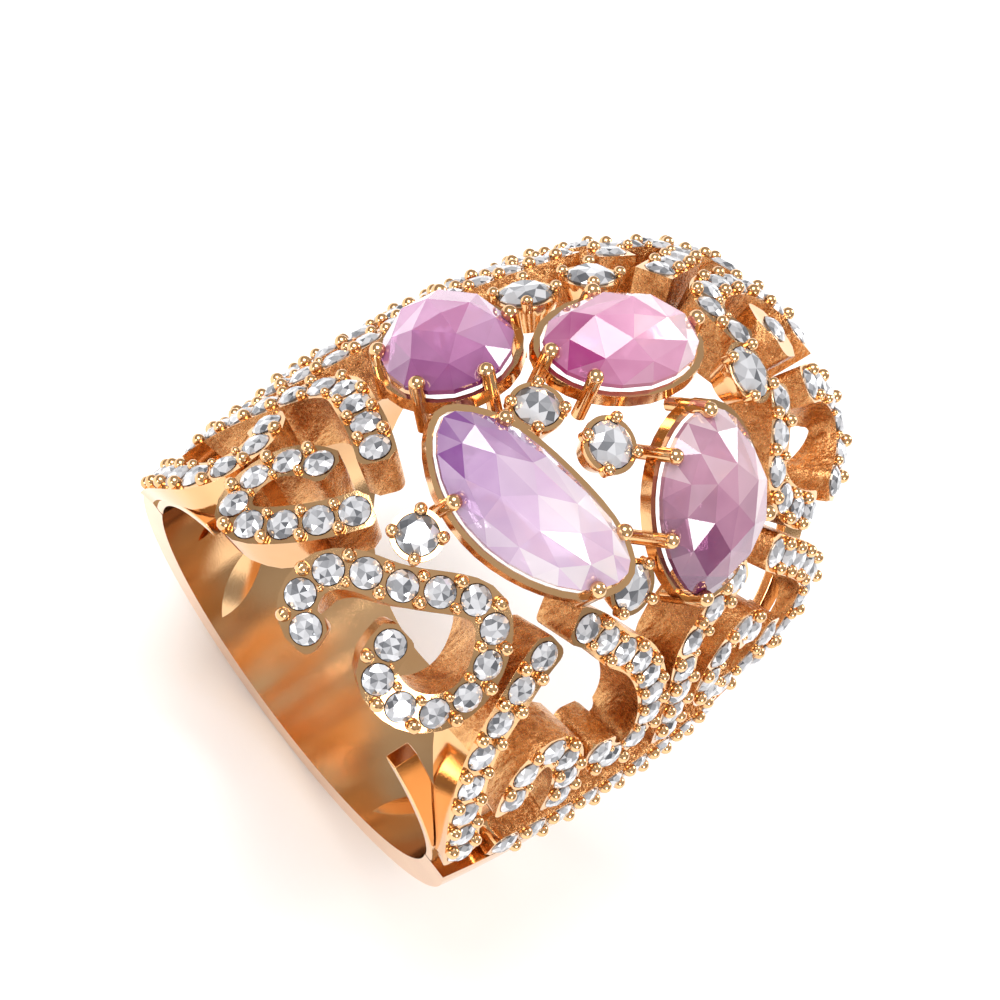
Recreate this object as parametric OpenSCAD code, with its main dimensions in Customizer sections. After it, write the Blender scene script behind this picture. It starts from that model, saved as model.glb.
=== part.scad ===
// Cocktail ring: a wide openwork dome of scrolled, stone-set ribbons on a polished tapering shank.
// Frame: origin at the middle of the finger hole, Y along the finger, +Z up through the crown.

/* [Finger and outline] */
// Inner diameter of the finger hole, mm
finger_d = 17.3; // [15.5:0.1:20]
// Thickness of the wall beside the finger, mm
side_wall = 1.85; // [1.5:0.05:3]
// Height of the crown above the finger hole, mm
crown_rise = 7.85; // [6.5:0.05:9.5]
// Half length along the finger, at the height of the finger axis, mm
side_len = 9; // [7.5:0.1:11]
// How much longer each end gets for every mm of height
flare = 0.57; // [0.48:0.01:0.66]

/* [Scroll ribbons] */
// Width of a ribbon, as a share of the ring's size
ribbon_share = 0.155; // [0.13:0.001:0.157]
// Height of a ribbon wall, as a share of its width
ribbon_deep = 1.35; // [1:0.05:1.6]
// Diameter of a small diamond, as a share of the ribbon width
stone_share = 0.77; // [0.62:0.01:0.8]
// Distance between small diamonds, as a share of their diameter
stone_pitch = 1.13; // [1.1:0.01:1.35]
// Bead radius, as a share of the small diamond's diameter
bead_share = 0.225; // [0.18:0.005:0.24]

/* [Coloured stones] */
// Height of a rose cut above its girdle, mm
rose_h = 1.7; // [1.2:0.1:2.2]
// How far a girdle stands above the dome, mm
gem_lift = 0.55; // [0.4:0.05:0.8]
// Radius of a claw, mm
claw_r = 0.3; // [0.26:0.01:0.36]

/* [Hidden] */
// overall sizes the layout is drawn for
draw_half_width = 10.5;
draw_crown = 16.5;
draw_rise = 7.85;
draw_side = 9;
draw_arch = 21.4;
draw_barrel = 62;
finger_r = finger_d / 2;
half_width = finger_r + side_wall;
crown_h = finger_r + crown_rise;
len_scale = side_len / draw_side;
size = draw_half_width * min(half_width / draw_half_width, crown_h / draw_crown, len_scale);
fine_scale = size / draw_half_width;
arch_r = draw_arch * draw_rise / crown_rise * pow(len_scale, 2);
barrel_r = draw_barrel * pow(len_scale, 2) * draw_half_width / half_width;
ribbon_w = ribbon_share * size;
ribbon_d = ribbon_w * ribbon_deep;
taper = 0.88;
stone_d = ribbon_w * stone_share;
pitch = stone_d * stone_pitch;
bead_r = stone_d * bead_share;
fit = 0.03;
solder = 0.04;
bearer_t = 0.4;
bearer_w = 1.35;
bearer_reach = 42;
// an odd count keeps every section of a wall away from the middle of a seat
steps = 3;
bead_rise = 0.45;
accent_lift = 0.35;

pink = [0.93, 0.62, 0.78];
violet = [0.70, 0.50, 0.78];
lilac = [0.86, 0.76, 0.93];
mauve = [0.66, 0.42, 0.58];
white = [0.95, 0.96, 0.98];
gold = [0.90, 0.64, 0.44];

// ---- the dome: places are [degrees round the finger from the crown, mm along the finger] ----
function side_at(y) = half_width - y * y / (2 * barrel_r);
function crown_at(y) = crown_h - arch_r + sqrt(arch_r * arch_r - y * y);
function reach(a, y) = 1 / sqrt(pow(sin(a) / side_at(y), 2) + pow(cos(a) / crown_at(y), 2));
function dome(q) = let (y = q[1] * len_scale, r = reach(q[0], y)) [r * sin(q[0]), y, r * cos(q[0])];
function unit(v) = v / norm(v);
function up_at(q) = let (e = 0.5, f = 0.05)
    unit(cross(dome(q + [e, 0]) - dome(q - [e, 0]), dome(q + [0, f]) - dome(q - [0, f])));
function end_at(z) = side_len + flare * z;

// ---- smooth paths through a few places ----
function knot(a, b, c, d, t) =
    0.5 * (2 * b + (c - a) * t + (2 * a - 5 * b + 4 * c - d) * t * t + (3 * b - a - 3 * c + d) * t * t * t);
function eased(f, w) = let (n = len(f)) [for (i = [0:n - 1]) let (e = min(w, i, n - 1 - i), r = [for (j = [i - e:i + e]) f[j]])
    [for (r0 = r) 1] * r / len(r)];
function curve(p, k = 8) = let (n = len(p))
    eased(concat([for (i = [0:n - 2], j = [0:k - 1])
        knot(p[max(i - 1, 0)], p[i], p[i + 1], p[min(i + 2, n - 1)], j / k)], [p[n - 1]]), k / 2);
function loop_curve(p, k) = let (n = len(p))
    [for (i = [0:n - 1], j = [0:k - 1]) knot(p[(i + n - 1) % n], p[i], p[(i + 1) % n], p[(i + 2) % n], j / k)];
function lengths(p) = [for (i = 0, s = 0; i < len(p); s = s + (i < len(p) - 1 ? norm(p[i + 1] - p[i]) : 0), i = i + 1) s];
function place_at(f, c, s, i = 0) =
    s <= c[i + 1] || i >= len(c) - 2 ? f[i] + (f[i + 1] - f[i]) * (s - c[i]) / (c[i + 1] - c[i])
    : place_at(f, c, s, i + 1);

// a path becomes [finely placed line, running length, number of diamonds, room for each]
function row_of(path) = let (f = curve(path), c = lengths([for (q = f) dome(q)]), whole = c[len(c) - 1],
    n = max(1, floor(whole / pitch))) [f, c, n, whole / n];
function row_place(row, s) = place_at(row[0], row[1], s);
function along(row, s) = let (e = 0.08, last = row[1][len(row[1]) - 1])
    unit(dome(row_place(row, min(s + e, last))) - dome(row_place(row, max(s - e, 0))));
// the wall stops short of the finger hole and of the bearer strips
function wall_depth(p, n, b) = let (clear = finger_r + bearer_t + solder, a = n[0] * n[0] + n[2] * n[2])
    min([ribbon_d, for (c = [p - b, p + b]) let (k = c[0] * n[0] + c[2] * n[2],
        h = k * k - a * (c[0] * c[0] + c[2] * c[2] - clear * clear)) if (h > 0) (k - sqrt(h)) / a]);
function section(row, s) = let (q = row_place(row, s), p = dome(q), n = up_at(q),
    b = unit(cross(n, along(row, s))) * ribbon_w / 2, d = n * wall_depth(p, n, b))
    [p + b, p - b, p - b * taper - d, p + b * taper - d];

// skin of four-sided sections, as an open wall with two ends or as a closed ring
function sweep_faces(m, k, closed) = concat(
    [for (i = [0:(closed ? m - 1 : m - 2)], j = [0:k - 1], h = [0, 1]) let (a = i * k, b = ((i + 1) % m) * k, c = (j + 1) % k)
        h == 0 ? [a + j, b + c, a + c] : [a + j, b + j, b + c]],
    closed ? [] : [[for (j = [0:k - 1]) j], [for (j = [k - 1:-1:0]) (m - 1) * k + j]]);

// stand a piece at a point, its own Z along n and its own X round the finger
module stand(p, n) {
    u = unit(cross([0, 1, 0], n));
    v = cross(n, u);
    multmatrix([[u[0], v[0], n[0], p[0]], [u[1], v[1], n[1], p[1]], [u[2], v[2], n[2], p[2]], [0, 0, 0, 1]]) children();
}
module on_dome(q, lift = 0, turn = 0) {
    n = up_at(q);
    stand(dome(q) + n * lift, n) rotate([0, 0, turn]) children();
}

// ---- brilliant-cut diamond, girdle at its own zero ----
crown_share = 0.15;
pavilion_share = 0.42;
girdle_share = 0.03;
table_share = 0.56;
culet_share = 0.12;
function brilliant_side(d, room) = let (r = d / 2 + room) [[0, -d * pavilion_share - room], [r * culet_share, -d * pavilion_share - room],
    [r, -room], [r, d * girdle_share + room], [r * table_share, d * (girdle_share + crown_share) + room]];
module brilliant(d) {
    rotate_extrude($fn = 32) polygon(concat(brilliant_side(d, 0), [[0, d * (girdle_share + crown_share)]]));
}
// a seat is the diamond's own shape with room round it, open above its crown
module seat(d) {
    rotate_extrude($fn = 32) polygon(concat(brilliant_side(d, fit), [[(d / 2 + fit) * table_share, d], [0, d]]));
}
module row_diamonds(path) {
    row = row_of(path);
    for (i = [0:row[2] - 1]) on_dome(row_place(row, (i + 0.5) * row[3])) brilliant(stone_d);
}

// ---- one ribbon: a wall on edge with a seat for each diamond ----
module ribbon(path) {
    row = row_of(path);
    n = row[2];
    m = steps * n + 1;
    pts = [for (i = [0:m - 1]) each section(row, i * row[3] / steps)];
    difference() {
        polyhedron(pts, sweep_faces(m, 4, false));
        for (i = [0:n - 1]) on_dome(row_place(row, (i + 0.5) * row[3])) seat(stone_d);
    }
}
// setting beads, two between neighbouring diamonds; where a row bends tightly they shrink to stay clear of the stones
module row_beads(path) {
    row = row_of(path);
    n = row[2];
    for (i = [1:1:n - 1]) {
        s = i * row[3];
        q = row_place(row, s);
        near = [dome(row_place(row, s - row[3] / 2)), dome(row_place(row, s + row[3] / 2))];
        for (side = [-1, 1]) {
            p = dome(q) + side * unit(cross(up_at(q), along(row, s))) * (ribbon_w / 2 - bead_r * 1.02);
            r = min(bead_r, min(norm(p - near[0]), norm(p - near[1])) - stone_d / 2 - fit / 2);
            stand(p, up_at(q)) difference() {
                translate([0, 0, r * bead_rise]) sphere(r, $fn = 24);
                translate([-r, -r, fit - r * 2]) cube(r * 2);
            }
        }
    }
}

// ---- where the scrolls run ----
left_edge = [[-76, -7.8], [-62, -7.7], [-47, -7.3], [-40, -6.7], [-33, -6.6], [-27, -7.5], [-20, -8.5], [-14, -9.5]];
left_return = [[-83, -9.2], [-76, -9.8], [-64, -11], [-51, -11.9], [-43.4, -11.8], [-39, -10.9], [-39, -9.4], [-44.4, -8.7]];
left_bud = [[-19, -10.6], [-26, -10.7], [-31, -11.5], [-32, -13], [-26.5, -13.8], [-19, -13.3], [-12.3, -12.2], [-8.8, -10.9]];
near_knot = [[5, -14.8], [0.5, -15], [-4, -14.8], [-6.6, -13.8], [-2.5, -12.8], [4.2, -12.1], [9.5, -10.9], [13.5, -9.8], [18, -9.4], [23, -9.8], [27.5, -10.5], [29.5, -11.5], [28.5, -12.6], [24.5, -13.5], [18, -13.9], [13.8, -13.5], [12.2, -12.5]];
right_edge = [[80, -9.1], [74, -9.5], [63, -10.2], [53, -10.5], [44.5, -10.4], [38.5, -9.8], [33.3, -8.9], [29, -8], [26.5, -7]];
near_arch = [[25.5, -6.1], [29, -4.9], [33.5, -4.1], [37, -2.9], [42, -1.9], [50, -1], [58, -0.6], [64, -1], [65.5, -2.2], [61.5, -3.2], [57, -3.2]];
right_crook = [[66, -7.6], [58, -7.9], [51.5, -7.2], [52, -5.9], [60, -5], [71, -4.6], [75, -4.6]];
right_vine = [[75, 2.4], [70, 1.9], [61, 1.45], [51, 1], [44, 0.7], [40, 1.5], [36.5, 2.8], [34.2, 4.2]];
far_right_edge = [[34.8, 5.9], [38.5, 7.2], [43, 8.7], [50, 10.5], [58, 11.3], [67, 10.9], [76, 9.8], [80.6, 9.1]];
right_snail = [[58, 6.3], [52, 6], [50, 4.6], [55, 3.6], [63, 3.8], [69.5, 4.8], [71, 6.4], [67, 7.9], [60, 8.7]];
right_leaf_near = [[9.5, 8.8], [13, 8.3], [17.5, 7.4], [22.5, 6.5], [28, 7.2], [32, 8.5], [35, 10]];
right_leaf_far = [[35.5, 11.8], [33, 13.1], [28, 14.1], [22, 14.4], [16.4, 13.8], [13.2, 12.5], [12.8, 11.2]];
far_curl = [[2.4, 8.5], [-3, 7.7], [-8, 8.2], [-10.6, 10.4], [-9, 13], [-4, 14.3], [1.5, 14.4], [5.5, 13.9]];
far_comma = [[-2.5, 10.5], [1, 11.4], [7.1, 11.3]];
far_left_leaf = [[-16.5, 7.5], [-18.4, 9.6], [-21.2, 11.4], [-25.5, 12.2], [-30, 11.9], [-32.6, 10.6], [-31.3, 8.9], [-25.5, 8.1]];
left_vine = [[-60, -5.3], [-52, -5.3], [-46, -4.5], [-42.5, -3], [-42, -0.8], [-40.5, 1.6], [-38, 3.8], [-36.5, 6], [-37, 8.1]];
left_crook = [[-76, -2.4], [-70, -2.8], [-61, -2.6], [-54, -1.8], [-50, -0.2], [-52, 1.4], [-58, 1.8], [-64, 0.8]];
left_snail = [[-76, 3], [-71, 3.7], [-63, 4.2], [-54, 4.3], [-47.5, 4.8], [-45.5, 6.5], [-49, 7.9], [-55, 8], [-60.5, 7]];
far_left_edge = [[-81.7, 8.9], [-74, 9.9], [-65, 10.7], [-55, 11.3], [-47.5, 11.1], [-42.5, 10]];
far_left_brim = [[-40, 12.2], [-35, 13.3], [-29, 14.1], [-22, 14.4], [-15.3, 13.9]];
right_rail = [[84.5, -7], [84.5, 7]];
left_rail = [[-84.5, -7], [-84.5, 7]];

near_rows = [left_bud, near_knot, near_arch];
right_rows = [right_edge, right_crook, right_vine, right_snail, right_rail];
left_rows = [left_edge, left_return, left_vine, left_crook, left_snail, left_rail];
far_rows = [far_right_edge, right_leaf_near, right_leaf_far, far_curl, far_comma, far_left_leaf, far_left_edge, far_left_brim];

// ---- accent diamonds: [place, diameter] ----
accents = [[[-22.3, 1.1], 2.2], [[-19.2, 4.1], 2], [[-4.8, -3.92], 1.85], [[4.7, -2.4], 1.95], [[6, 6.4], 2.2], [[0, -10.55], 1.7], [[23.7, -3.45], 1.9]];
collet_t = 0.2;
collet_h = 1.3 * fine_scale;
accent_claws = 4;
accent_claw_r = claw_r * 0.75;
// how far a claw's outer side stands from the collet's opening
accent_claw_out = 0.34 * fine_scale;
module collet(d) {
    r = d / 2 + fit;
    foot = r / 2;
    difference() {
        union() {
            rotate_extrude($fn = 32) polygon([[foot, -collet_h], [foot + collet_t * 1.4, -collet_h], [r + collet_t, -d * 0.08],
                [r + collet_t, 0], [r * 0.8, 0], [foot * 0.9, -collet_h * 0.6]]);
            for (i = [0.5:1:accent_claws]) rotate([0, 0, i * 360 / accent_claws]) translate([r + accent_claw_out - accent_claw_r, 0, -d * 0.1]) {
                cylinder(h = d * 0.2, r = accent_claw_r, $fn = 24);
                translate([0, 0, d * 0.2]) sphere(accent_claw_r * 1.13, $fn = 24);
            }
        }
        seat(d);
    }
}

// ---- coloured stones: [place, turn, outline points in mm, places of the claws along the outline] ----
function oval(a, b) = [for (i = [0:7]) [a * cos(i * 45), b * sin(i * 45)]];
half_moon = [[-4.4, -1.1], [-4, 0], [-2.5, 1.3], [-0.1, 2.2], [2.3, 2.7], [4, 2.5], [4.5, 1.6], [4, 0.1], [2.6, -1.3], [0.7, -2.3], [-1.4, -2.6], [-3.3, -2.1]];
shield = [[-3.5, 1.2], [-2.5, 2.5], [-0.8, 3.2], [1.1, 3.1], [2.7, 1.9], [3.5, 0.1], [3.3, -1.7], [2, -2.6], [0.3, -2.9], [-1.3, -2.6], [-2.7, -1.7], [-3.5, -0.3]];
round_rose = [[-20.6, -3.9], -45, oval(3.35, 2.65), [0.11, 0.3, 0.54, 0.76, 0.92]];
oval_rose = [[-5.75, 1], 75, oval(3.55, 2.35), [0.01, 0.27, 0.5, 0.66]];
moon_rose = [[4.9, -6.85], 0, half_moon, [0.15, 0.38, 0.57, 0.86]];
shield_rose = [[17.8, 0.9], 0, shield, [0.3, 0.5, 0.68, 0.85, 0.99]];
outline_steps = 3;
girdle_t = 0.2;
pavilion_h = 0.9;
rail_w = 0.28 * fine_scale;
rail_h = 0.55 * fine_scale;
// how far a claw's outer side and the outer side of its ball stand from the girdle
claw_out = 0.42 * fine_scale;
ball_out = 0.38 * fine_scale;
ball_r = claw_r * 1.12;
// how far the rail sits below the girdle, and how far a claw reaches below the rail and above the girdle
rail_drop = 0.12;
claw_foot = 0.9;
claw_grip = 0.3;

// [share of the outline, height, share of a step it is turned by], from the keel up to the crown
function gem_levels(room) = let (dome_h = rose_h - girdle_t) [[0.55, -pavilion_h * 0.72 - room, 0], [1, -room, 0],
    [1, girdle_t, 0], [0.78, girdle_t + dome_h * 0.55, 0.5], [0.42, girdle_t + dome_h * 0.9, 0]];
function outline(gem, k = outline_steps) = [for (q = loop_curve(gem[2], k)) q * fine_scale];
function outward(o, i) = let (n = len(o), t = o[(i + 1) % n] - o[(i + n - 1) % n]) unit([t[1], -t[0]]);
function facing(o) = let (n = len(o), a = [for (i = [0:n - 1]) o[i][0] * o[(i + 1) % n][1] - o[i][1] * o[(i + 1) % n][0]])
    a * [for (v = a) 1] > 0 ? 1 : -1;
function grown(o, g) = let (f = facing(o)) [for (i = [0:len(o) - 1]) o[i] + outward(o, i) * g * f];
module rose_cut(gem, room = 0) {
    o0 = grown(outline(gem, 2), room);
    o = facing(o0) > 0 ? o0 : [for (i = [len(o0) - 1:-1:0]) o0[i]];
    n = len(o);
    lv = gem_levels(room);
    m = len(lv);
    rings = [for (l = lv) each [for (i = [0:n - 1]) let (p = o[i] + (o[(i + 1) % n] - o[i]) * l[2]) [p[0] * l[0], p[1] * l[0], l[1]]]];
    pts = concat(rings, [[0, 0, -pavilion_h - room], [0, 0, rose_h + room]]);
    skin = [for (k = [0:m - 2], i = [0:n - 1], h = [0, 1]) let (a = k * n, b = (k + 1) * n, j = (i + 1) % n)
        lv[k + 1][2] >= lv[k][2]
            ? (h == 0 ? [a + i, b + i, a + j] : [b + i, b + j, a + j])
            : (h == 0 ? [a + i, b + i, b + j] : [a + i, b + j, a + j])];
    caps = [for (i = [0:n - 1], h = [0, 1]) let (j = (i + 1) % n)
        h == 0 ? [m * n, i, j] : [m * n + 1, (m - 1) * n + j, (m - 1) * n + i]];
    polyhedron(pts, concat(skin, caps));
}
module gem_stone(gem) { on_dome(gem[0], gem_lift, gem[1]) rose_cut(gem); }
module basket(gem) {
    o = outline(gem);
    n = len(o);
    inner = grown(o, fit * 2);
    outer = grown(o, fit * 2 + rail_w);
    post = grown(o, claw_out - claw_r);
    grip = grown(o, ball_out - ball_r);
    foot = -rail_drop - rail_h - claw_foot;
    tip = girdle_t + claw_grip;
    pts = [for (i = [0:n - 1]) each [[inner[i][0], inner[i][1], -rail_drop], [outer[i][0], outer[i][1], -rail_drop],
        [outer[i][0], outer[i][1], -rail_drop - rail_h], [inner[i][0], inner[i][1], -rail_drop - rail_h]]];
    f = facing(o);
    on_dome(gem[0], gem_lift, gem[1]) difference() {
        union() {
            polyhedron(pts, f > 0 ? sweep_faces(n, 4, true) : [for (w = sweep_faces(n, 4, true)) [w[2], w[1], w[0]]]);
            for (c = gem[3]) {
                translate([post[floor(c * n)][0], post[floor(c * n)][1], foot]) cylinder(h = tip - foot, r = claw_r, $fn = 24);
                translate([grip[floor(c * n)][0], grip[floor(c * n)][1], tip]) sphere(ball_r, $fn = 24);
            }
        }
        rose_cut(gem, fit);
    }
}

// ---- shank: barrel-sided band, both ends cut on the slope of the flare, pierced with leaves ----
leaf_len = 4;
leaf_w = 1.5;
leaf_small = 0.42;
leaf_lean = 36;
// each leaf: [degrees round the finger from the crown, mm along it, share of the full size]
leaves = [[136, 2.75, 1], [113, 4.7, leaf_small]];
module leaf(k) {
    r = (pow(leaf_len, 2) + pow(leaf_w, 2)) / (4 * leaf_w) * k;
    off = r - leaf_w * k / 2;
    intersection() {
        translate([off, 0, finger_r - 1]) cylinder(h = half_width, r = r, $fn = 64);
        translate([-off, 0, finger_r - 1]) cylinder(h = half_width, r = r, $fn = 64);
    }
}
module end_cut(s, back = 0) {
    lean = atan(flare);
    mirror([0, s > 0 ? 0 : 1, 0]) translate([0, side_len - back, 0]) rotate([-lean, 0, 0])
        translate([-half_width * 2, 0, -crown_h * 3]) cube([half_width * 4, side_len * 3, crown_h * 6]);
}
module barrel_profile() {
    intersection() {
        translate([half_width - barrel_r, 0]) circle(barrel_r, $fn = 360);
        translate([finger_r - 1, -side_len]) square([half_width, side_len * 2]);
    }
}
module finger_hole() { rotate([90, 0, 0]) cylinder(h = side_len * 5, r = finger_r, center = true, $fn = 180); }
module shank() {
    color(gold) difference() {
        rotate([90, 90, 0]) rotate([0, 0, -90]) rotate_extrude(angle = 180, $fn = 180) barrel_profile();
        finger_hole();
        for (s = [-1, 1]) end_cut(s);
        for (l = leaves, a = [-1, 1], s = [-1, 1]) rotate([0, a * l[0], 0]) translate([0, s * l[1] * len_scale, 0])
            rotate([0, 0, -a * s * leaf_lean]) leaf(fine_scale * l[2]);
    }
}
// strips that climb from the shank under the edge scrolls, at both ends of the finger hole
module bearer_strips() {
    top = (finger_r + bearer_t) * cos(bearer_reach);
    color(gold) difference() {
        for (s = [-1, 1]) intersection() {
            rotate([90, 0, 0]) cylinder(h = side_len * 4, r = finger_r + bearer_t, center = true, $fn = 180);
            end_cut(s, bearer_w);
            translate([-half_width, -side_len * 3, solder]) cube([half_width * 2, side_len * 6, top - solder]);
        }
        finger_hole();
        for (s = [-1, 1]) end_cut(s);
    }
}

module beads_near() { color(gold) for (p = near_rows) row_beads(p); }
module beads_right() { color(gold) for (p = right_rows) row_beads(p); }
module beads_left() { color(gold) for (p = left_rows) row_beads(p); }
module beads_far() { color(gold) for (p = far_rows) row_beads(p); }
module pave_near() { color(white) for (p = near_rows) row_diamonds(p); }
module pave_right() { color(white) for (p = right_rows) row_diamonds(p); }
module pave_left() { color(white) for (p = left_rows) row_diamonds(p); }
module pave_far() { color(white) for (p = far_rows) row_diamonds(p); }
module accent_diamonds() { color(white) for (a = accents) on_dome(a[0], accent_lift) brilliant(a[1] * fine_scale); }
module accent_collets() { color(gold) for (a = accents) on_dome(a[0], accent_lift) collet(a[1] * fine_scale); }
module gem_round() { color(violet) gem_stone(round_rose); }
module gem_oval() { color(pink) gem_stone(oval_rose); }
module gem_moon() { color(lilac) gem_stone(moon_rose); }
module gem_shield() { color(mauve) gem_stone(shield_rose); }
module basket_round() { color(gold) basket(round_rose); }
module basket_oval() { color(gold) basket(oval_rose); }
module basket_moon() { color(gold) basket(moon_rose); }
module basket_shield() { color(gold) basket(shield_rose); }
module scroll_left_edge() { color(gold) ribbon(left_edge); }
module scroll_left_return() { color(gold) ribbon(left_return); }
module scroll_left_bud() { color(gold) ribbon(left_bud); }
module scroll_near_knot() { color(gold) ribbon(near_knot); }
module scroll_right_edge() { color(gold) ribbon(right_edge); }
module scroll_near_arch() { color(gold) ribbon(near_arch); }
module scroll_right_crook() { color(gold) ribbon(right_crook); }
module scroll_right_vine() { color(gold) ribbon(right_vine); }
module scroll_far_right_edge() { color(gold) ribbon(far_right_edge); }
module scroll_right_snail() { color(gold) ribbon(right_snail); }
module scroll_right_leaf_near() { color(gold) ribbon(right_leaf_near); }
module scroll_right_leaf_far() { color(gold) ribbon(right_leaf_far); }
module scroll_far_curl() { color(gold) ribbon(far_curl); }
module scroll_far_comma() { color(gold) ribbon(far_comma); }
module scroll_far_left_leaf() { color(gold) ribbon(far_left_leaf); }
module scroll_left_vine() { color(gold) ribbon(left_vine); }
module scroll_left_crook() { color(gold) ribbon(left_crook); }
module scroll_left_snail() { color(gold) ribbon(left_snail); }
module scroll_far_left_edge() { color(gold) ribbon(far_left_edge); }
module scroll_far_left_brim() { color(gold) ribbon(far_left_brim); }
module side_rail_right() { color(gold) ribbon(right_rail); }
module side_rail_left() { color(gold) ribbon(left_rail); }

shank();
bearer_strips();
scroll_left_edge();
scroll_left_return();
scroll_left_bud();
scroll_near_knot();
scroll_right_edge();
scroll_near_arch();
scroll_right_crook();
scroll_right_vine();
scroll_far_right_edge();
scroll_right_snail();
scroll_right_leaf_near();
scroll_right_leaf_far();
scroll_far_curl();
scroll_far_comma();
scroll_far_left_leaf();
scroll_left_vine();
scroll_left_crook();
scroll_left_snail();
scroll_far_left_edge();
scroll_far_left_brim();
side_rail_right();
side_rail_left();
basket_round();
basket_oval();
basket_moon();
basket_shield();
accent_collets();
gem_round();
gem_oval();
gem_moon();
gem_shield();
accent_diamonds();
pave_near();
pave_right();
pave_left();
pave_far();
beads_near();
beads_right();
beads_left();
beads_far();
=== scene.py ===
"""The cocktail ring's looks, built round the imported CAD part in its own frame, in metres."""

import math

import bmesh
import bpy
import numpy as np
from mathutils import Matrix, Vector


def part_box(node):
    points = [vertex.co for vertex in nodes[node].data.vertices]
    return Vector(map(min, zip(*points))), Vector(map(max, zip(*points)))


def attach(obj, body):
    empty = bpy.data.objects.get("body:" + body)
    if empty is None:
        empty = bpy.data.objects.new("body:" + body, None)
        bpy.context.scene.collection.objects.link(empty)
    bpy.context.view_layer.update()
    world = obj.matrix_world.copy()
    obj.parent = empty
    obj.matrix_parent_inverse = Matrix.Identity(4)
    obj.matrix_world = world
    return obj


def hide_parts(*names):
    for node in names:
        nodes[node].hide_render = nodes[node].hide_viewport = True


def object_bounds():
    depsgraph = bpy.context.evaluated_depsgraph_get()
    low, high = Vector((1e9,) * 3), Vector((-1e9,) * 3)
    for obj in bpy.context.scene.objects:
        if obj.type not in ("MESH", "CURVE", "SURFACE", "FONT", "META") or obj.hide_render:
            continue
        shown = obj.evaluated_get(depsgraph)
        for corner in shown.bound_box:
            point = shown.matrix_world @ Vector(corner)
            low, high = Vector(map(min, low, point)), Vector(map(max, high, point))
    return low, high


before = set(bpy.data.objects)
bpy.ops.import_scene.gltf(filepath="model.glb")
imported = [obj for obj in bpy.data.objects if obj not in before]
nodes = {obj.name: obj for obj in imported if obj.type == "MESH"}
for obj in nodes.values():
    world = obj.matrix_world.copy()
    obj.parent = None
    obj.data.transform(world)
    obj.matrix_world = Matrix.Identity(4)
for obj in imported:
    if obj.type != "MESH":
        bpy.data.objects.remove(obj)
bare_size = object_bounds()
LOWEST, HIGHEST = bare_size
CENTRE = (LOWEST + HIGHEST) / 2
MM = 0.001
WELD = 1e-3 * MM  # corners closer than this are one corner
SEED = 7

rng = np.random.default_rng(SEED)


# ---- shader sums written as plain arithmetic ----
class Value:
    """One output of a shader node. Numbers and other outputs combine with it by +, - and *."""

    def __init__(self, graph, socket):
        self.graph, self.socket = graph, socket

    def _sum(self, operation, *terms):
        return self.graph.node("ShaderNodeMath", {"operation": operation}, *terms)

    def __add__(self, other):
        return self._sum("ADD", self, other)

    def __radd__(self, other):
        return self._sum("ADD", other, self)

    def __sub__(self, other):
        return self._sum("SUBTRACT", self, other)

    def __rsub__(self, other):
        return self._sum("SUBTRACT", other, self)

    def __mul__(self, other):
        return self._sum("MULTIPLY", self, other)

    def __rmul__(self, other):
        return self._sum("MULTIPLY", other, self)

    def held(self):
        """The same value kept between 0 and 1."""
        return self.graph.node("ShaderNodeClamp", {}, self)


class Graph:
    """The shader nodes of one material or of the world."""

    def __init__(self, tree):
        self.tree = tree

    def feed(self, socket, value):
        """Links a node's output into a socket, or sets the socket to a fixed value."""
        if isinstance(value, Value):
            self.tree.links.new(value.socket, socket)
        else:
            socket.default_value = value

    def node(self, kind, settings, *values, out=0, at=None, **named):
        """Adds a node. Its sockets are fed in order, by number (at) or by name."""
        made = self.tree.nodes.new(kind)
        for key, value in settings.items():
            setattr(made, key, value)
        for i, value in enumerate(values):
            self.feed(made.inputs[i], value)
        for i, value in (at or {}).items():
            self.feed(made.inputs[i], value)
        for key, value in named.items():
            self.feed(made.inputs[key.replace("_", " ")], value)
        return Value(self, made.outputs[out])

    def ramp(self, value, low, high):
        """0 up to low, 1 from high, and even between them."""
        return self.node("ShaderNodeMapRange", {"clamp": True}, value, low, high, 0.0, 1.0)

    def blend(self, amount, a, b):
        """Colour a where amount is 0 and colour b where it is 1."""
        return self.node("ShaderNodeMix", {"data_type": "RGBA"}, amount, out=2, at={6: a, 7: b})


class Paint(Graph):
    """A material under construction, with one Principled shader."""

    def __init__(self, name, **fixed):
        self.material = bpy.data.materials.new(name)
        self.material.use_nodes = True
        super().__init__(self.material.node_tree)
        self.shader = self.tree.nodes["Principled BSDF"]
        for key, value in fixed.items():
            self.shader.inputs[key.replace("_", " ")].default_value = value

    def place(self):
        """Where a point is in the ring's own frame, in millimetres."""
        here = self.node("ShaderNodeTexCoord", {}, out=3)
        return self.node("ShaderNodeVectorMath", {"operation": "SCALE"}, here, Scale=1 / MM)

    def stretched(self, x, y, z):
        """The place with each direction stretched by its own amount."""
        return self.node("ShaderNodeVectorMath", {"operation": "MULTIPLY"}, self.place(), (x, y, z))

    def noise(self, scale, detail=3.0, roughness=0.55, where=None):
        """Cloudy noise, with about as many clouds to a millimetre as the scale says."""
        return self.node("ShaderNodeTexNoise", {}, Vector=where or self.place(), Scale=scale,
                         Detail=detail, Roughness=roughness)

    def mark(self, name):
        """A number stored on the faces of the mesh."""
        return self.node("ShaderNodeAttribute", {"attribute_name": name}, out=2)

    def finish(self, color, roughness, height, depth, strength):
        """Feeds the shader and hands over the material. The bump's depth is in millimetres."""
        self.feed(self.shader.inputs["Base Color"], color)
        self.feed(self.shader.inputs["Roughness"], roughness)
        bump = self.node("ShaderNodeBump", {}, Strength=strength, Distance=depth * MM, Height=height)
        self.feed(self.shader.inputs["Normal"], bump)
        return self.material


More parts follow.
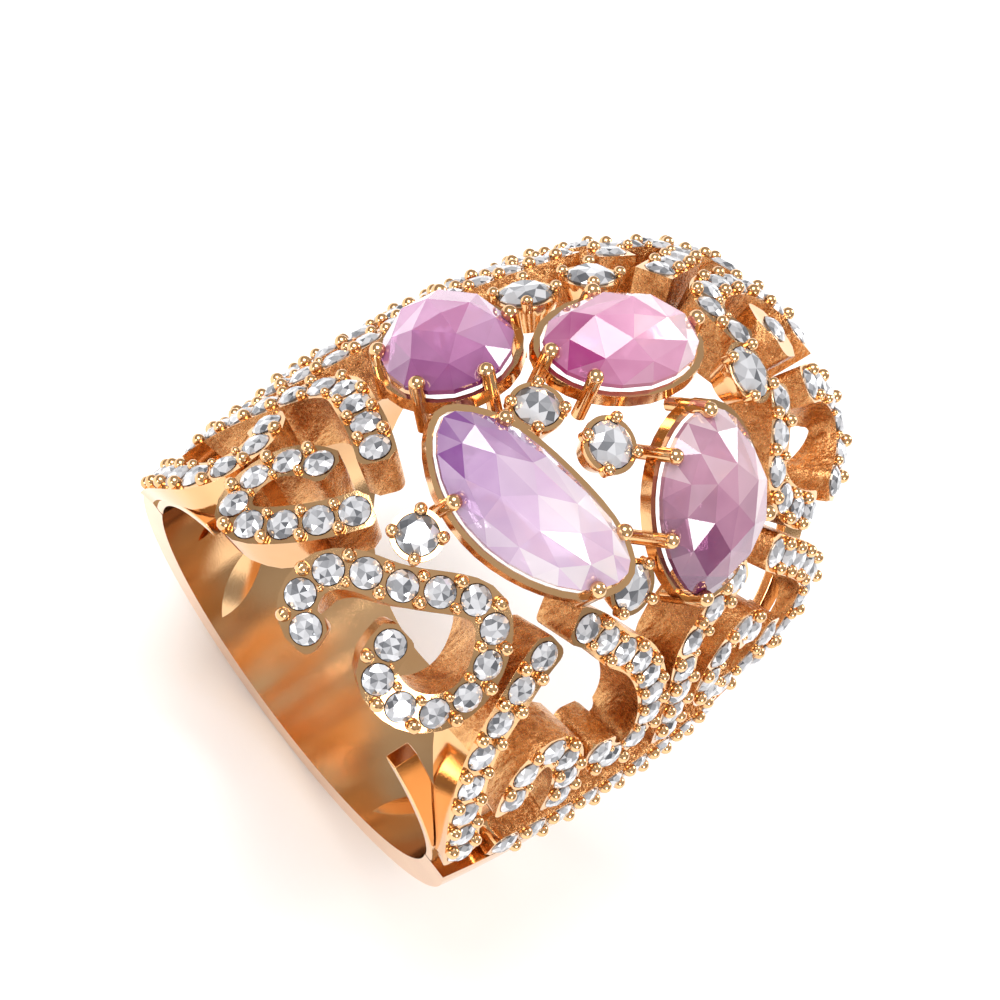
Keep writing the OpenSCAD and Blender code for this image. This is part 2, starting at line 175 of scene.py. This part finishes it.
# ---- materials ----
POLISHED = (0.84, 0.51, 0.255, 1)
WORN = (0.75, 0.42, 0.19, 1)
AS_CAST = (0.80, 0.45, 0.19, 1)
# the darkest tint of the inner walls' rough casting surface: partly its own colour, partly painted
# shade in the openwork
DARK_SKIN_AND_SHADE = (0.46, 0.20, 0.065, 1)
# painted reflections: the dark and the bright end of the diamonds' facets
REFLECTION_DARK = (0.07, 0.075, 0.09, 1)
REFLECTION_BRIGHT = (0.80, 0.80, 0.83, 1)
BOARD = (0.90, 0.90, 0.90, 1)
BOARD_PALE = (0.94, 0.94, 0.94, 1)


def gold(name):
    """Polished rose gold that turns to a browner rough casting surface on the faces marked as inner
    walls; its darkest streaks are partly that surface's own colour and partly painted shade in the
    openwork.
    """
    paint = Paint(name, Metallic=1.0)
    cast = paint.mark("cast")
    cloudy = paint.noise(0.35, 2.0)
    grain = paint.noise(5.0, 5.0, 0.65)
    pits = paint.noise(14.0, 3.0, 0.6)
    streaks = paint.noise(2.2, 4.0, 0.6, paint.stretched(1.0, 1.0, 0.25))
    polished = paint.blend(paint.ramp(cloudy, 0.35, 0.80), POLISHED, WORN)
    # painted shade: the inner walls darken in streaks towards the darkest tint
    skin_and_shade = paint.blend(paint.ramp(streaks * 0.65 + grain * 0.35, 0.36, 0.56), DARK_SKIN_AND_SHADE, AS_CAST)
    color = paint.blend(cast, polished, skin_and_shade)
    rough = 0.04 + cloudy * 0.05 + pits * 0.04 + cast * (0.08 + grain * 0.2)
    height = cast * (streaks + grain * 0.35) + pits * 0.02
    return paint.finish(color, rough, height, 0.16, 0.9)


def diamond(name):
    """Small brilliants: every facet is painted its own lightness, a painted reflection of the light the
    cut returns.
    """
    paint = Paint(name, Metallic=0.35, IOR=2.42)
    tone = paint.mark("tone")
    haze = paint.noise(2.2, 2.0)
    color = paint.blend((tone * 0.92 + haze * 0.12).held(), REFLECTION_DARK, REFLECTION_BRIGHT)
    return paint.finish(color, 0.03 + haze * 0.05, paint.noise(9.0), 0.004, 0.2)


def coloured(name, pale, deep, highlight_tint):
    """A clear coloured stone with painted shade deepening it towards one side, deeper away from its
    top, with a painted reflection on each facet, painted highlights on the lighter facets of the other
    side, and faint veils.
    """
    paint = Paint(name, Transmission_Weight=0.4, IOR=1.7, Coat_Weight=0.6, Coat_Roughness=0.02)
    tone, edge, zone = paint.mark("tone"), paint.mark("edge"), paint.mark("zone")
    veil = paint.noise(0.42, 2.5, 0.5)
    fine = paint.noise(2.6, 4.0)
    # painted shade towards one side, a painted reflection on each facet, deeper away from the top, and
    # faint veils
    depth = edge * 0.22 + tone * 0.55 + zone * 0.75 + paint.ramp(veil, 0.35, 0.7) * 0.25 - 0.42
    body = paint.blend((depth + fine * 0.06).held(), pale, deep)
    # painted highlight: the lighter facets away from the shaded side take the highlight tint
    color = paint.blend(paint.ramp(1 - zone, 0.35, 0.9) * paint.ramp(tone, 0.45, 0.6), body, highlight_tint)
    return paint.finish(color, 0.015 + fine * 0.02, paint.noise(0.8), 0.01, 0.15)


def floor_finish():
    """A pale board with a faint glow of its own."""
    paint = Paint("pale_board", IOR=1.3, Emission_Color=(1, 1, 1, 1), Emission_Strength=0.12)
    fine = paint.noise(0.8, 4.0)
    color = paint.blend(fine, BOARD, BOARD_PALE)
    return paint.finish(color, 0.5 + fine * 0.1, fine, 0.02, 0.05)


GOLD = gold("rose_gold_cast_and_polished")
DIAMOND = diamond("white_diamond")
# each stone's pale and deep tint, and the tint of its painted highlights
GEMS = {
    "gem_round": coloured(
        "purple_stone", (0.62, 0.25, 0.50, 1), (0.20, 0.012, 0.16, 1), (0.82, 0.52, 0.74, 1)),
    "gem_oval": coloured(
        "pink_stone", (0.84, 0.42, 0.62, 1), (0.40, 0.02, 0.20, 1), (0.95, 0.72, 0.80, 1)),
    "gem_moon": coloured(
        "lilac_stone", (0.82, 0.62, 0.80, 1), (0.28, 0.08, 0.34, 1), (0.97, 0.88, 0.92, 1)),
    "gem_shield": coloured(
        "mauve_stone", (0.60, 0.30, 0.42, 1), (0.17, 0.015, 0.12, 1), (0.82, 0.60, 0.66, 1)),
}
# the side of each stone that is painted deeper as painted shade, across the finger and along it
SHADED_SIDE = {
    "gem_round": (0.73, -0.68),
    "gem_oval": (-0.1, -1.0),
    "gem_moon": (-0.9, -0.4),
    "gem_shield": (0.9, -0.4),
}


# ---- reading the CAD solids ----
GRID = 1e-4 * MM  # corners are compared on this grid
SAME_WAY = 40  # normals count as the same if they round to the same 1/40


def loose(obj):
    """Each loose solid of a node: its corner points, and the direction and area of each face."""
    mesh = obj.data
    co = np.array([v.co for v in mesh.vertices])
    corners, at = np.unique(np.round(co / GRID), axis=0, return_inverse=True)
    at = at.reshape(-1)
    owner = list(range(len(corners)))

    def top(i):
        while owner[i] != i:
            owner[i] = owner[owner[i]]
            i = owner[i]
        return i

    for face in mesh.polygons:
        first = top(at[face.vertices[0]])
        for v in face.vertices[1:]:
            owner[top(at[v])] = first
    solids = {}
    for face in mesh.polygons:
        key = top(at[face.vertices[0]])
        points, faces = solids.setdefault(key, (set(), []))
        points.update(int(at[v]) for v in face.vertices)
        faces.append((tuple(face.normal), face.area))
    where = corners * GRID
    return [(where[sorted(points)], faces) for points, faces in solids.values()]


def turned(points, faces):
    """A turned solid with one large flat end, as its axis at height 0, the flat end's direction,
    a direction square to it, and the radius."""
    sums = {}
    for normal, area in faces:
        key = tuple(np.round(np.array(normal) * SAME_WAY))
        total, direction = sums.get(key, (0.0, np.zeros(3)))
        sums[key] = (total + area, direction + np.array(normal) * area)
    up = max(sums.values(), key=lambda s: s[0])[1]
    up /= np.linalg.norm(up)
    side = np.cross(up, (0.0, 1.0, 0.0))
    side /= np.linalg.norm(side)
    third = np.cross(up, side)
    spans = [(points @ d).min() for d in (side, third)], [(points @ d).max() for d in (side, third)]
    mid = side * (spans[0][0] + spans[1][0]) / 2 + third * (spans[0][1] + spans[1][1]) / 2
    radius = (spans[1][0] - spans[0][0]) / 2
    return mid, up, side, radius


def placed(name, mesh, material, node):
    """An object made of the mesh, put under the root body in place of a CAD node, which it hides."""
    mesh.materials.clear()
    mesh.materials.append(material)
    obj = bpy.data.objects.new(name, mesh)
    bpy.context.scene.collection.objects.link(obj)
    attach(obj, "root")
    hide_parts(node)
    return obj


def mark_faces(mesh, key, values):
    """Stores a number on every face, for the materials to read."""
    mesh.attributes.new(key, "FLOAT", "FACE").data.foreach_set("value", np.array(values, np.float32))


def new_piece(name, corners, faces, material, node, smooth=False, **marks):
    """A piece made from corners and faces, with the marks on its faces."""
    mesh = bpy.data.meshes.new(name)
    mesh.from_pydata([tuple(c) for c in corners], [], faces)
    for key, values in marks.items():
        mark_faces(mesh, key, values)
    mesh.polygons.foreach_set("use_smooth", [smooth] * len(mesh.polygons))
    return placed(name, mesh, material, node)


# ---- small diamonds: table, stars, kites, halves, girdle and pavilion ----
# as shares of the diameter
TABLE_R = 0.28
STAR_R = 0.40
GIRDLE_T = 0.03
CROWN_H = 0.18
STAR_H = CROWN_H * 0.60
PAVILION_H = 0.42
# the painted reflection on each facet: how light it is, and how often
REFLECTION_LEVELS = [0.08, 0.4, 0.7, 1.0]
REFLECTION_ODDS = [0.24, 0.24, 0.26, 0.26]
REFLECTION_DRIFT = 0.1


def circle(count, radius, height, turn=0.0):
    """Points round a circle, turned by a share of a step."""
    angles = [math.tau * (i + turn) / count for i in range(count)]
    return [(radius * math.cos(a), radius * math.sin(a), height) for a in angles]


def brilliant():
    """A round brilliant one unit across: corners, faces."""
    mains, halves = 8, 16
    corners = circle(mains, TABLE_R, CROWN_H) + circle(mains, STAR_R, STAR_H, 0.5)
    corners += circle(halves, 0.5, GIRDLE_T) + circle(halves, 0.5, 0.0)
    corners += [(0, 0, CROWN_H), (0, 0, -PAVILION_H)]
    middle, culet = len(corners) - 2, len(corners) - 1

    def table(i):
        return i % mains

    def star(i):
        return mains + i % mains

    def high(i):
        return 2 * mains + i % halves

    def low(i):
        return 2 * mains + halves + i % halves

    faces = []
    for i in range(mains):
        faces += [(middle, table(i), table(i + 1)),
                  (table(i), star(i), table(i + 1)),
                  (table(i), star(i - 1), high(2 * i), star(i)),
                  (star(i), high(2 * i), high(2 * i + 1)),
                  (star(i), high(2 * i + 1), high(2 * i + 2))]
    for i in range(halves):
        faces += [(high(i), low(i), low(i + 1), high(i + 1)), (low(i), culet, low(i + 1))]
    return np.array(corners), faces


def stones(node, name):
    """A brilliant in place of each CAD stone, at a turn of its own."""
    on_girdle = 0.97  # a corner this far out, as a share of the radius, is on the girdle
    pattern, shape = brilliant()
    corners, faces, tones = [], [], []
    for points, sides in loose(nodes[node]):
        mid, up, side, radius = turned(points, sides)
        rings = points @ up
        wide = np.linalg.norm(points - mid - np.outer(rings, up), axis=1) > radius * on_girdle
        base = mid + up * rings[wide].min()
        spin = rng.uniform(0, math.tau)
        x = side * math.cos(spin) + np.cross(up, side) * math.sin(spin)
        y = np.cross(up, x)
        start = len(corners)
        size = radius * 2
        corners += [base + (x * p[0] + y * p[1] + up * p[2]) * size for p in pattern]
        faces += [tuple(start + i for i in f) for f in shape]
        # painted reflection: a random lightness for each facet
        tone = rng.choice(REFLECTION_LEVELS, len(shape), p=REFLECTION_ODDS)
        tones += list(np.clip(tone + rng.uniform(-REFLECTION_DRIFT, REFLECTION_DRIFT, len(shape)), 0, 1))
    return new_piece(name, corners, faces, DIAMOND, node, tone=tones)


# ---- setting beads: small balls that lean on the neighbouring stones ----
BEAD_ROWS, BEAD_RING = 7, 14
BEAD_SWELL = 1.02


def beads(node, name):
    """A whole ball in place of each CAD bead, a little larger than it."""
    corners, faces = [], []
    for points, sides in loose(nodes[node]):
        mid, flat, side, radius = turned(points, sides)
        up = -flat
        high = (points @ up).max()
        middle = mid + up * (high - radius)
        third = np.cross(up, side)
        start = len(corners)
        for j in range(BEAD_ROWS + 1):
            lean = math.pi * j / BEAD_ROWS
            for i in range(BEAD_RING):
                a = math.tau * i / BEAD_RING
                level = (side * math.cos(a) + third * math.sin(a)) * math.sin(lean)
                corners.append(middle + (up * math.cos(lean) + level) * radius * BEAD_SWELL)
        for j in range(BEAD_ROWS):
            row, below = start + j * BEAD_RING, start + (j + 1) * BEAD_RING
            for i in range(BEAD_RING):
                k = (i + 1) % BEAD_RING
                faces.append((row + i, below + i, below + k, row + k))
    return new_piece(name, corners, faces, GOLD, node, smooth=True, cast=[0.0] * len(faces))


# ---- rose cuts: large three-sided facets over the CAD outline ----
def welded(node):
    """The node's mesh with its corners joined."""
    work = bmesh.new()
    work.from_mesh(nodes[node].data)
    bmesh.ops.remove_doubles(work, verts=work.verts, dist=WELD)
    return work


def rose_cut(node, name):
    """Rings of facets between the CAD stone's keel, its girdle and its highest point."""
    work = welded(node)
    tips = sorted(work.verts, key=lambda v: -len(v.link_edges))[:2]
    apex, keel = sorted((v.co.copy() for v in tips), key=lambda c: -(Vector((c.x, 0, c.z)).length))
    up = (apex - keel).normalized()
    points = [v.co - keel for v in work.verts]
    work.free()
    side = up.cross(Vector((0, 1, 0))).normalized()
    third = up.cross(side)
    # the corners' heights above the keel; the girdle band lies between the third and the fourth
    levels = sorted({round(p.dot(up) / MM, 2) for p in points})
    low, high = levels[2], levels[3]
    rim = [p for p in points if abs(p.dot(up) / MM - low) < 0.02]
    rim.sort(key=lambda p: math.atan2(p.dot(third), p.dot(side)))
    rim = [p - up * p.dot(up) for p in rim]
    count = len(rim)
    top = (apex - keel).length / MM

    def ring(step, share, height, jitter=0.0):
        """Every step-th girdle point, drawn in to a share of the outline, at a height in mm."""
        made = []
        for i in range(count // step):
            p = rim[(i * step + step // 2) % count]
            drawn_in = share + rng.uniform(-jitter, jitter)
            raised = height + rng.uniform(-jitter, jitter)
            made.append(keel + p * drawn_in + up * raised * MM)
        return made

    dome = top - high
    rings = [ring(2, 0.56, low * 0.28), ring(1, 1.0, low), ring(1, 1.0, high),
             ring(2, 0.80, high + dome * 0.52, 0.035), ring(4, 0.47, high + dome * 0.88, 0.03)]
    blunt = 0.04
    corners = [c for r in rings for c in r] + [keel, keel + up * (top - blunt) * MM]
    start = [sum(len(r) for r in rings[:k]) for k in range(len(rings))]
    faces, edge = [], []

    def fan(wide, narrow, outward, depth):
        """Facets between a ring and one with half its points. depth is their mark for the edge."""
        n, m = len(rings[wide]), len(rings[narrow])
        for k in range(m):
            a, b, c = (start[wide] + (2 * k + j) % n for j in range(3))
            p, q = start[narrow] + k, start[narrow] + (k + 1) % m
            for tri in ((a, b, p), (b, c, p), (c, q, p)):
                faces.append(tri if outward else tri[::-1])
                edge.append(depth)

    pavilion, under, over, shoulder, crown = range(len(rings))
    fan(under, pavilion, False, 1.0)
    for i in range(count):
        j = (i + 1) % count
        faces.append((start[under] + i, start[under] + j, start[over] + j, start[over] + i))
        edge.append(0.95)
    fan(over, shoulder, True, 0.72)
    fan(shoulder, crown, True, 0.30)
    n = len(rings[crown])
    for k in range(n):
        faces.append((start[crown] + k, start[crown] + (k + 1) % n, len(corners) - 1))
        edge.append(0.0)
    n = len(rings[pavilion])
    for k in range(n):
        faces.append((start[pavilion] + (k + 1) % n, start[pavilion] + k, len(corners) - 2))
        edge.append(0.8)
    # painted reflections, one per facet, and painted shade gathering towards one side of the stone
    tones = rng.uniform(0, 1, len(faces))
    toward = Vector((*SHADED_SIDE[node], 0))
    middles = [sum((corners[i] for i in f), Vector()) / len(f) for f in faces]
    reaches = [(m - keel).dot(toward) for m in middles]
    shade_gathers = 1.6  # over 1 keeps the deep colour nearer to its own side
    zone = np.interp(reaches, (min(reaches), max(reaches)), (0, 1)) ** shade_gathers
    return new_piece(name, corners, faces, GEMS[node], node, tone=tones, edge=edge, zone=zone)


# ---- gold: softened edges, and a rough casting surface with painted shade on the inner walls ----
RIM_SIDE = max(abs(corner.y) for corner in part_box("side_rail_left"))
RIM_SLOPE = 0.57  # how far the rim moves out along the finger for its height
RIM_BAND = 1.2 * MM
ALONG_SHARE = 0.55  # how strongly the outward direction leans along the finger
SMOOTH_BELOW = math.radians(40)
BEVEL_ABOVE = math.radians(42)
FLAT_WITHIN = math.radians(0.4)
CORNER_ABOVE = math.radians(65)


def dome_up(p):
    """Roughly the dome's outward direction at a point."""
    low = 2 * MM
    return Vector((p.x * (HIGHEST.z / HIGHEST.x), p.y * ALONG_SHARE, max(p.z, 0.0) + low)).normalized()


def inner_wall(p, n):
    """1 on walls that look into the openwork, which get the rough casting surface and its painted
    shade, 0 on the tops and on the walls at the ring's two ends.
    """
    face_up = n.dot(dome_up(p))
    end = 1 if p.y > 0 else -1
    near_rim = abs(p.y) > RIM_SIDE + RIM_SLOPE * p.z - RIM_BAND
    if face_up > 0.72:
        return 0.0
    if near_rim and n.y * end > 0.25:
        return 0.0
    return 1.0 if face_up > -0.6 else 0.7


def polished(p, n):
    """Every face is polished."""
    return 0.0


def round_corners(work, radius):
    """Rounds the upright corners at the ends of a ribbon."""
    bmesh.ops.dissolve_limit(work, angle_limit=FLAT_WITHIN, verts=work.verts, edges=work.edges)
    work.normal_update()

    def stands(e):
        direction = (e.verts[0].co - e.verts[1].co).normalized()
        return abs(direction.dot(dome_up(e.verts[0].co))) > 0.75

    corners = [e for e in work.edges if len(e.link_faces) == 2 and e.calc_length() > radius * 1.4
               and e.calc_face_angle(0.0) > CORNER_ABOVE and stands(e)]
    bmesh.ops.bevel(work, geom=corners, offset=radius, offset_type="OFFSET", segments=4, profile=0.5,
                    affect="EDGES", clamp_overlap=True)


def casting(node, name, soften, cast=polished, corner_r=0.0):
    """The CAD solid with its edges rounded. Lengths are in mm, and cast gives each face its mark."""
    work = welded(node)
    bmesh.ops.dissolve_degenerate(work, edges=work.edges, dist=WELD)
    if corner_r:
        round_corners(work, corner_r * MM)
    work.normal_update()
    for e in work.edges:
        e.smooth = len(e.link_faces) == 2 and e.calc_face_angle(0.0) < SMOOTH_BELOW
    for f in work.faces:
        f.smooth = True
    mesh = bpy.data.meshes.new(name)
    work.to_mesh(mesh)
    work.free()
    mark_faces(mesh, "cast", [cast(f.center, f.normal) for f in mesh.polygons])
    obj = placed(name, mesh, GOLD, node)
    bevel = obj.modifiers.new("worn_edges", "BEVEL")
    bevel.width = soften * MM
    bevel.segments = 2
    bevel.limit_method = "ANGLE"
    bevel.angle_limit = BEVEL_ABOVE
    bevel.harden_normals = True


for node in sorted(nodes):
    if node.startswith(("pave_", "accent_diamonds")):
        stones(node, node + "_cut")
    elif node.startswith("beads_"):
        beads(node, node + "_balls")
    elif node.startswith("gem_"):
        rose_cut(node, node + "_faceted")
    elif node.startswith(("scroll_", "side_rail")):
        casting(node, node + "_gold", 0.05, inner_wall, 0.45)
    elif node.startswith(("basket_", "accent_collets")):
        casting(node, node + "_gold", 0.03)
    else:
        casting(node, node + "_gold", 0.08)


# ---- floor, light and camera ----
bpy.ops.mesh.primitive_plane_add(size=3.0, location=(0, 0, LOWEST.z))
board = bpy.context.object
board.name = "floor"
board.data.materials.append(floor_finish())

ROOM_LOW = (0.55, 0.53, 0.51, 1)
ROOM_HIGH = (1.0, 1.0, 1.0, 1)
room = bpy.data.worlds.new("soft_room")
bpy.context.scene.world = room
room.use_nodes = True
air = Graph(room.node_tree)
glow = air.tree.nodes["Background"]
direction = air.node("ShaderNodeTexCoord", {})
height = air.node("ShaderNodeSeparateXYZ", {}, direction, out=2)
air.feed(glow.inputs["Color"], air.blend(air.ramp(height, -0.1, 0.75), ROOM_LOW, ROOM_HIGH))
air.feed(glow.inputs["Strength"], 0.55)


def softbox(name, where, size, power):
    """A square lamp aimed at the ring."""
    data = bpy.data.lights.new(name, "AREA")
    data.size = size
    data.energy = power
    lamp = bpy.data.objects.new(name, data)
    lamp.location = where
    lamp.rotation_euler = (CENTRE - Vector(where)).to_track_quat("-Z", "Y").to_euler()
    bpy.context.scene.collection.objects.link(lamp)


softbox("high_softbox", (-0.20, -0.10, 0.45), 0.30, 2.0)
softbox("right_softbox", (0.40, -0.15, 0.22), 0.18, 1.0)
softbox("far_softbox", (0.10, 0.42, 0.25), 0.20, 1.0)
softbox("front_strip", (-0.15, -0.45, 0.10), 0.10, 0.5)

# the camera's turn round the ring, its height above the horizon, its roll, and its distance
TURN = math.radians(11.5)
RAISE = math.radians(50.0)
ROLL = math.radians(43.17)
STAND_OFF = 0.26
across = Vector((math.cos(TURN), math.sin(TURN), 0))
into = Vector((-math.sin(TURN), math.cos(TURN), 0))
upright = Vector((0, 0, 1))
look = into * math.cos(RAISE) - upright * math.sin(RAISE)
steep = into * math.sin(RAISE) + upright * math.cos(RAISE)
right = across * math.cos(ROLL) + steep * math.sin(ROLL)
up = steep * math.cos(ROLL) - across * math.sin(ROLL)
lens = bpy.data.cameras.new("camera")
lens.sensor_width = 36.0
lens.lens = 228.8
lens.clip_start = 0.01
lens.shift_x = 0.0589
lens.shift_y = 0.0915
camera = bpy.data.objects.new("camera", lens)
pose = camera.matrix_world
for row in range(3):
    pose[row][0] = right[row]
    pose[row][1] = up[row]
    pose[row][2] = -look[row]
    pose[row][3] = -look[row] * STAND_OFF
camera.matrix_world = pose
bpy.context.scene.collection.objects.link(camera)
bpy.context.scene.camera = camera
bpy.context.scene.view_settings.view_transform = "Standard"
